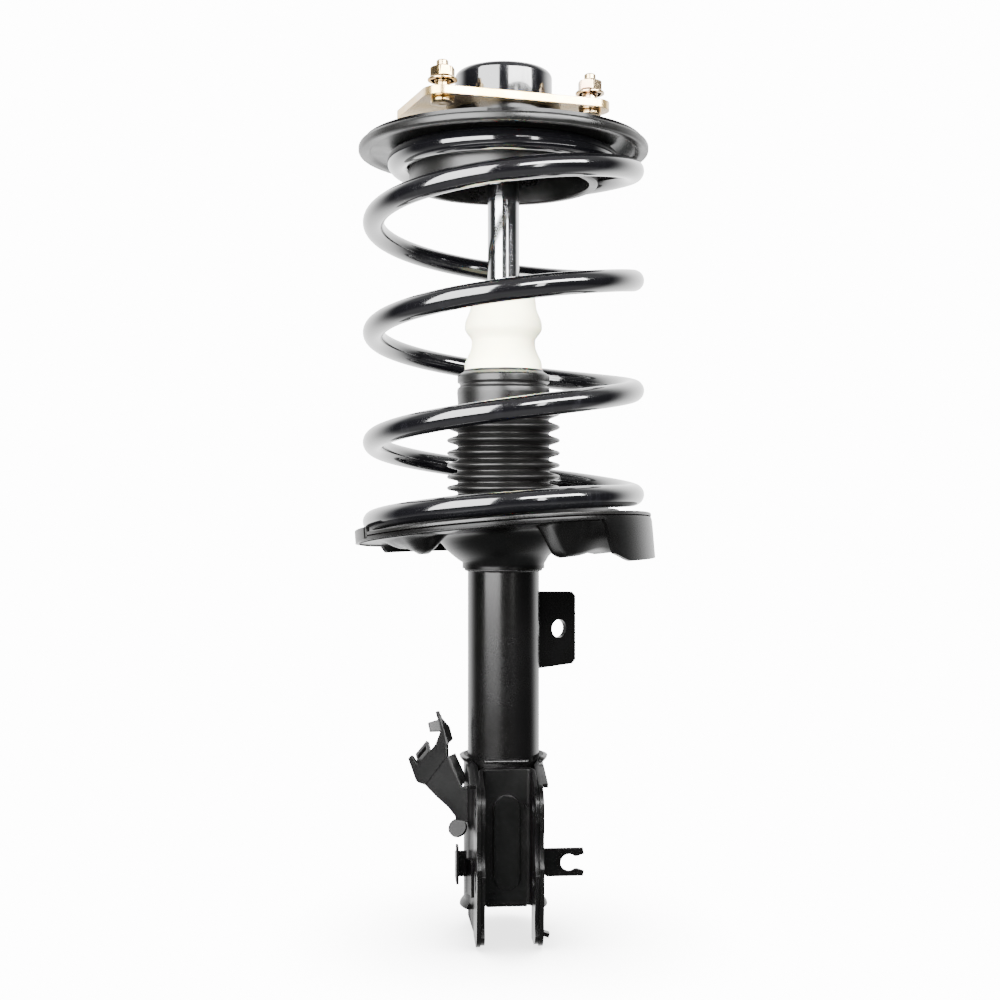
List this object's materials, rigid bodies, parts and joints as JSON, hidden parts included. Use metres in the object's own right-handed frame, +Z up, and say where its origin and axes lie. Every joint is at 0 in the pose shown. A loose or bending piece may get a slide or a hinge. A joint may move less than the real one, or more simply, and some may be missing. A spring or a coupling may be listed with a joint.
{
  "type": "strut assembly",
  "caption": "Front suspension strut: damper with coil spring, ribbed boot, foam bump stop, tilted lower seat, swivelling top mount with studs, and an open knuckle clevis.",
  "frame": {"origin": "centre of the stud circle on the mount plate's top face", "axes": "+Z up along the piston rod; -Y towards the clevis opening; +X to the right seen from there"},
  "size_m": [0.2093, 0.2067, 0.597],
  "materials": {
    "zinc": "yellow zinc plating",
    "gloss_black": "gloss black paint",
    "spring_paint": "gloss black powder coat",
    "satin_black": "satin black paint",
    "clevis_black": "satin black paint",
    "rubber": "matt black rubber",
    "foam": "cream microcellular foam",
    "rod_chrome": "polished hard chrome",
    "bare_steel": "machined steel",
    "ball_steel": "polished steel",
    "cage_plastic": "moulded plastic",
    "sintered": "sintered steel",
    "band_plastic": "low-friction plastic"
  },
  "bodies": {
    "top_mount": {"mount_plate": "zinc", "mount_cup": "gloss_black", "mount_rubber": "rubber", "mount_sleeve": "bare_steel", "mount_studs": "zinc", "mount_nuts": "zinc", "rod_washer": "bare_steel", "rod_nut": "zinc", "bearing_upper_race": "bare_steel", "piston_rod": "rod_chrome", "rebound_stop": "band_plastic", "piston": "sintered", "piston_band": "band_plastic", "piston_nut": "bare_steel"},
    "upper_seat": {"bearing_lower_race": "bare_steel", "upper_spring_seat": "gloss_black", "upper_rubber_seat": "rubber"},
    "ball_cage": {"bearing_balls": "ball_steel", "bearing_cage": "cage_plastic"},
    "strut_body": {"coil_spring": "spring_paint", "bump_stop": "foam", "dust_boot": "rubber", "rod_guide": "sintered", "rod_seal": "rubber", "gland_cap": "satin_black", "pressure_cylinder": "bare_steel", "base_valve": "sintered", "strut_tube": "satin_black", "tube_end_cap": "satin_black", "lower_spring_seat": "satin_black", "lower_rubber_pad": "rubber", "clevis_bracket": "clevis_black", "clevis_reinforcement": "clevis_black", "hose_bracket": "clevis_black", "clip_bracket": "clevis_black", "wire_bracket": "clevis_black", "link_bracket": "satin_black"}
  },
  "joints": [
    {"name": "mount_swivel", "type": "hinge", "parent": "top_mount", "child": "upper_seat", "pos_m": [0, 0, 0], "axis": [0, 0, 1], "continuous": true},
    {"name": "cage_turn", "type": "hinge", "parent": "top_mount", "child": "ball_cage", "pos_m": [0, 0, 0], "axis": [0, 0, 1], "continuous": true},
    {"name": "strut_stroke", "type": "slide", "parent": "upper_seat", "child": "strut_body", "axis": [0, 0, 1], "range_m": [0, 0.135], "stiffness_N_per_m": 25000, "springref_m": -0.012, "deforming": ["coil_spring", "bump_stop"]}
  ],
  "couplings": [
    {"joint": "cage_turn", "follows": "mount_swivel", "ratio": 0.5}
  ]
}
